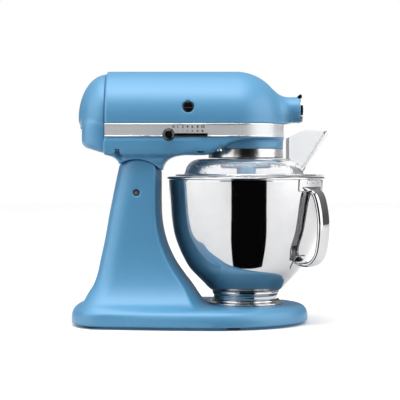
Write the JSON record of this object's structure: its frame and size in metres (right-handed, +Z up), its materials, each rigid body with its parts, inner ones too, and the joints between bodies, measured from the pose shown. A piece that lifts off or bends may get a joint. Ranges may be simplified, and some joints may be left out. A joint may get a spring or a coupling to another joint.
{
  "type": "stand mixer",
  "caption": "Tilt-head stand mixer with a steel bowl, planetary drive, flat beater, clear pouring shield, power hub and internal motor and gear train.",
  "frame": {"origin": "centre of the bounding box at table level, under the feet", "axes": "+Z up, +X from the column towards the power hub, -Y is the side with the speed knob"},
  "size_m": [0.357, 0.2212, 0.3505],
  "materials": {
    "body_paint": "satin metallic blue paint",
    "bowl_steel": "polished stainless steel",
    "band_metal": "satin trim metal with bright edges",
    "bright_chrome": "polished chrome plate",
    "cast_grey": "cast and machined alloy",
    "black_gloss": "glossy black plastic",
    "black_matte": "matte black plastic",
    "foot_rubber": "soft dark rubber",
    "clear_plastic": "clear moulded plastic",
    "gear_steel": "hobbed gear steel",
    "screw_steel": "zinc plated steel",
    "bronze": "sintered bronze",
    "motor_iron": "laminated iron with windings",
    "brush_carbon": "pressed carbon",
    "board_green": "coated circuit board",
    "beater_alloy": "burnished cast alloy"
  },
  "bodies": {
    "stand": {"base_casting": "body_paint", "rubber_feet": "foot_rubber", "pedestal": "body_paint", "pedestal_screws": "screw_steel", "bowl_clamp_plate": "bowl_steel", "clamp_plate_screws": "screw_steel", "hinge_pin": "screw_steel", "hinge_set_screw": "screw_steel"},
    "head_lock": {"head_lock_lever": "black_gloss"},
    "bowl": {"bowl_shell": "bowl_steel", "bowl_foot_ring": "bowl_steel", "bowl_handle": "bowl_steel"},
    "head": {"motor_housing": "body_paint", "gearcase_cover": "body_paint", "trim_band": "band_metal", "end_cover": "body_paint", "end_cover_screw": "bright_chrome", "housing_screws": "screw_steel", "cord_gland": "black_matte", "motor_stator": "motor_iron", "front_bearing_bracket": "cast_grey", "rear_bearing_bracket": "cast_grey", "motor_bearings": "gear_steel", "brush_holders": "black_matte", "carbon_brushes": "brush_carbon", "brush_caps": "black_gloss", "speed_governor": "board_green", "phase_control_board": "board_green", "worm_wheel_bracket": "cast_grey", "centre_shaft_bush": "bronze", "ring_gear": "gear_steel", "drip_ring": "bowl_steel", "hub_socket_bush": "gear_steel", "hub_cover_hinge": "bright_chrome", "lever_pivot": "gear_steel"},
    "armature": {"armature": "motor_iron"},
    "worm_wheel": {"worm_wheel": "bronze"},
    "planetary": {"planetary": "body_paint"},
    "agitator": {"agitator_shaft": "gear_steel"},
    "beater": {"flat_beater": "beater_alloy"},
    "hub_gear": {"hub_gear": "gear_steel"},
    "hub_cover": {"hub_cover": "bright_chrome"},
    "attachment_knob": {"attachment_knob": "black_gloss"},
    "speed_control": {"speed_lever": "bright_chrome", "speed_knob": "black_gloss"},
    "pouring_shield": {"shield_ring": "clear_plastic", "shield_chute": "clear_plastic"}
  },
  "joints": [
    {"name": "head_tilt", "type": "hinge", "parent": "stand", "child": "head", "pos_m": [-0.0868, 0, 0.1825], "axis": [0, -1, 0], "range_deg": [0, 45]},
    {"name": "head_lock_turn", "type": "hinge", "parent": "stand", "child": "head_lock", "pos_m": [-0.0708, 0.056, 0.1875], "axis": [0, 1, 0], "range_deg": [0, 75]},
    {"name": "bowl_twist", "type": "hinge", "parent": "stand", "child": "bowl", "pos_m": [0.064, 0, 0.03], "axis": [0, 0, 1], "range_deg": [0, 25]},
    {"name": "planetary_spin", "type": "hinge", "parent": "head", "child": "planetary", "pos_m": [0.064, 0, 0.22], "axis": [0, 0, 1], "continuous": true},
    {"name": "agitator_spin", "type": "hinge", "parent": "planetary", "child": "agitator", "pos_m": [0.064, -0.025, 0.22], "axis": [0, 0, 1], "continuous": true},
    {"name": "beater_push_up", "type": "slide", "parent": "agitator", "child": "beater", "axis": [0, 0, 1], "range_m": [0, 0.003], "stiffness_N_per_m": 600, "springref_m": -0.004},
    {"name": "worm_wheel_spin", "type": "hinge", "parent": "head", "child": "worm_wheel", "pos_m": [0.05323, 0.028, 0.299], "axis": [0, 0, 1], "continuous": true},
    {"name": "armature_spin", "type": "hinge", "parent": "head", "child": "armature", "pos_m": [0, 0, 0.299], "axis": [1, 0, 0], "continuous": true},
    {"name": "hub_gear_spin", "type": "hinge", "parent": "head", "child": "hub_gear", "pos_m": [0.1, 0, 0.297], "axis": [1, 0, 0], "continuous": true},
    {"name": "hub_cover_open", "type": "hinge", "parent": "head", "child": "hub_cover", "pos_m": [0.1396, 0, 0.3162], "axis": [0, -1, 0], "range_deg": [0, 95]},
    {"name": "attachment_knob_turn", "type": "hinge", "parent": "head", "child": "attachment_knob", "pos_m": [0.13, 0.02, 0.297], "axis": [0, 1, 0], "range_deg": [0, 540]},
    {"name": "speed_lever_swing", "type": "hinge", "parent": "head", "child": "speed_control", "pos_m": [-0.016, 0, 0.261], "axis": [0, 0, 1], "range_deg": [0, 36]},
    {"name": "shield_turn", "type": "hinge", "parent": "head", "child": "pouring_shield", "pos_m": [0.064, 0, 0.22], "axis": [0, 0, 1], "range_deg": [-20, 20]}
  ],
  "couplings": [
    {"joint": "agitator_spin", "follows": "planetary_spin", "ratio": -3.5},
    {"joint": "worm_wheel_spin", "follows": "planetary_spin", "ratio": -3},
    {"joint": "armature_spin", "follows": "planetary_spin", "ratio": 42},
    {"joint": "hub_gear_spin", "follows": "planetary_spin", "ratio": 2}
  ]
}
